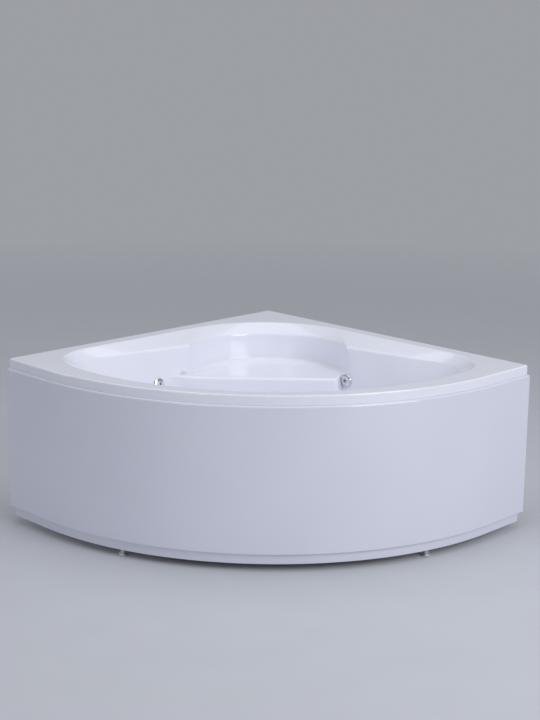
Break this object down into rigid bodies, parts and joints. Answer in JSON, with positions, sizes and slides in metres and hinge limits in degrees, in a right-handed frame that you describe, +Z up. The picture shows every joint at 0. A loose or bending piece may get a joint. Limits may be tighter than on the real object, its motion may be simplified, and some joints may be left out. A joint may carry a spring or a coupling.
{
  "type": "corner bathtub",
  "caption": "Corner hydromassage bathtub: white acrylic shell with corner seat, bowed front panel, chrome swivel jets, lifting waste plug and levelling feet.",
  "frame": {"origin": "on the floor under the middle of the bath's bounding box", "axes": "+X to the right seen from the front, +Y back towards the corner of the room, +Z up"},
  "size_m": [1.9928, 1.5208, 0.65],
  "materials": {
    "white_acrylic": "glossy sanitary acrylic",
    "panel_acrylic": "glossy sanitary acrylic",
    "chipboard": "sealed board",
    "zinc_steel": "zinc plated tube",
    "zinc_fixings": "zinc plated",
    "foot_steel": "threaded stud and pad",
    "chrome": "polished",
    "grey_plastic": "moulded",
    "dark_plastic": "moulded",
    "black_rubber": "seal",
    "motor_paint": "cast can"
  },
  "bodies": {
    "tub": {"back_foot_block": "zinc_steel", "back_post": "zinc_steel", "base_board": "chipboard", "centre_rail": "zinc_steel", "foot_nuts": "zinc_fixings", "front_cross_rail": "zinc_steel", "front_panel": "panel_acrylic", "left_jet_body": "grey_plastic", "left_jet_gasket": "black_rubber", "left_jet_nut": "grey_plastic", "left_panel_clip": "zinc_fixings", "left_panel_post": "zinc_steel", "left_pressure_pipe": "grey_plastic", "left_side_rail": "zinc_steel", "left_wall_hook": "zinc_fixings", "left_wing_post": "zinc_steel", "overflow_body": "grey_plastic", "overflow_gasket": "black_rubber", "overflow_pipe": "grey_plastic", "pressure_tee": "grey_plastic", "pump_cradle": "zinc_fixings", "pump_fan_cover": "dark_plastic", "pump_motor": "motor_paint", "pump_volute": "dark_plastic", "right_jet_body": "grey_plastic", "right_jet_gasket": "black_rubber", "right_jet_nut": "grey_plastic", "right_panel_clip": "zinc_fixings", "right_panel_post": "zinc_steel", "right_pressure_pipe": "grey_plastic", "right_side_rail": "zinc_steel", "right_wall_hook": "zinc_fixings", "right_wing_post": "zinc_steel", "start_button_bezel": "chrome", "start_button_nut": "dark_plastic", "suction_body": "grey_plastic", "suction_cover": "chrome", "suction_nut": "dark_plastic", "suction_pipe": "grey_plastic", "trap": "grey_plastic", "trap_outlet": "grey_plastic", "tub_shell": "white_acrylic", "waste_body": "grey_plastic", "waste_flange": "chrome", "waste_gasket": "black_rubber", "wing_cross_rail": "zinc_steel"},
    "front_left_foot": {"front_left_foot": "foot_steel"},
    "front_right_foot": {"front_right_foot": "foot_steel"},
    "wing_left_foot": {"wing_left_foot": "foot_steel"},
    "wing_right_foot": {"wing_right_foot": "foot_steel"},
    "back_foot": {"back_foot": "foot_steel"},
    "left_jet_cover": {"left_jet_cover": "chrome"},
    "left_jet_ball": {"left_jet_ball": "chrome"},
    "right_jet_cover": {"right_jet_cover": "chrome"},
    "right_jet_ball": {"right_jet_ball": "chrome"},
    "overflow_knob": {"overflow_knob": "chrome"},
    "waste_plug": {"waste_plug": "chrome"},
    "start_button": {"start_button": "chrome"}
  },
  "joints": [
    {"name": "front_left_foot_level", "type": "slide", "parent": "tub", "child": "front_left_foot", "axis": [0, 0, -1], "range_m": [0, 0.02]},
    {"name": "front_right_foot_level", "type": "slide", "parent": "tub", "child": "front_right_foot", "axis": [0, 0, -1], "range_m": [0, 0.02]},
    {"name": "wing_left_foot_level", "type": "slide", "parent": "tub", "child": "wing_left_foot", "axis": [0, 0, -1], "range_m": [0, 0.02]},
    {"name": "wing_right_foot_level", "type": "slide", "parent": "tub", "child": "wing_right_foot", "axis": [0, 0, -1], "range_m": [0, 0.02]},
    {"name": "back_foot_level", "type": "slide", "parent": "tub", "child": "back_foot", "axis": [0, 0, -1], "range_m": [0, 0.02]},
    {"name": "left_jet_cover_turn", "type": "hinge", "parent": "tub", "child": "left_jet_cover", "pos_m": [-0.43981, 0.08726, 0.476], "axis": [0.6444, -0.7358, 0.2082], "range_deg": [0, 90]},
    {"name": "left_jet_ball_tilt", "type": "hinge", "parent": "left_jet_cover", "child": "left_jet_ball", "pos_m": [-0.44046, 0.088, 0.47579], "axis": [0.7523, 0.6589, 0], "range_deg": [-15, 15]},
    {"name": "right_jet_cover_turn", "type": "hinge", "parent": "tub", "child": "right_jet_cover", "pos_m": [0.32069, 0.19159, 0.476], "axis": [-0.6561, -0.7491, 0.0916], "range_deg": [0, 90]},
    {"name": "right_jet_ball_tilt", "type": "hinge", "parent": "right_jet_cover", "child": "right_jet_ball", "pos_m": [0.32135, 0.19234, 0.47591], "axis": [0.7523, -0.6589, 0], "range_deg": [-15, 15]},
    {"name": "overflow_knob_turn", "type": "hinge", "parent": "tub", "child": "overflow_knob", "pos_m": [0, -0.62263, 0.566], "axis": [0, 0.9526, 0.3042], "range_deg": [0, 90]},
    {"name": "waste_plug_lift", "type": "slide", "parent": "tub", "child": "waste_plug", "axis": [0, 0, 1], "range_m": [0, 0.0123]},
    {"name": "start_button_press", "type": "slide", "parent": "tub", "child": "start_button", "axis": [0.259, -0.9162, -0.3057], "range_m": [0, 0.003], "stiffness_N_per_m": 400}
  ],
  "couplings": [
    {"joint": "waste_plug_lift", "follows": "overflow_knob_turn", "m_per_rad": 0.0078}
  ]
}
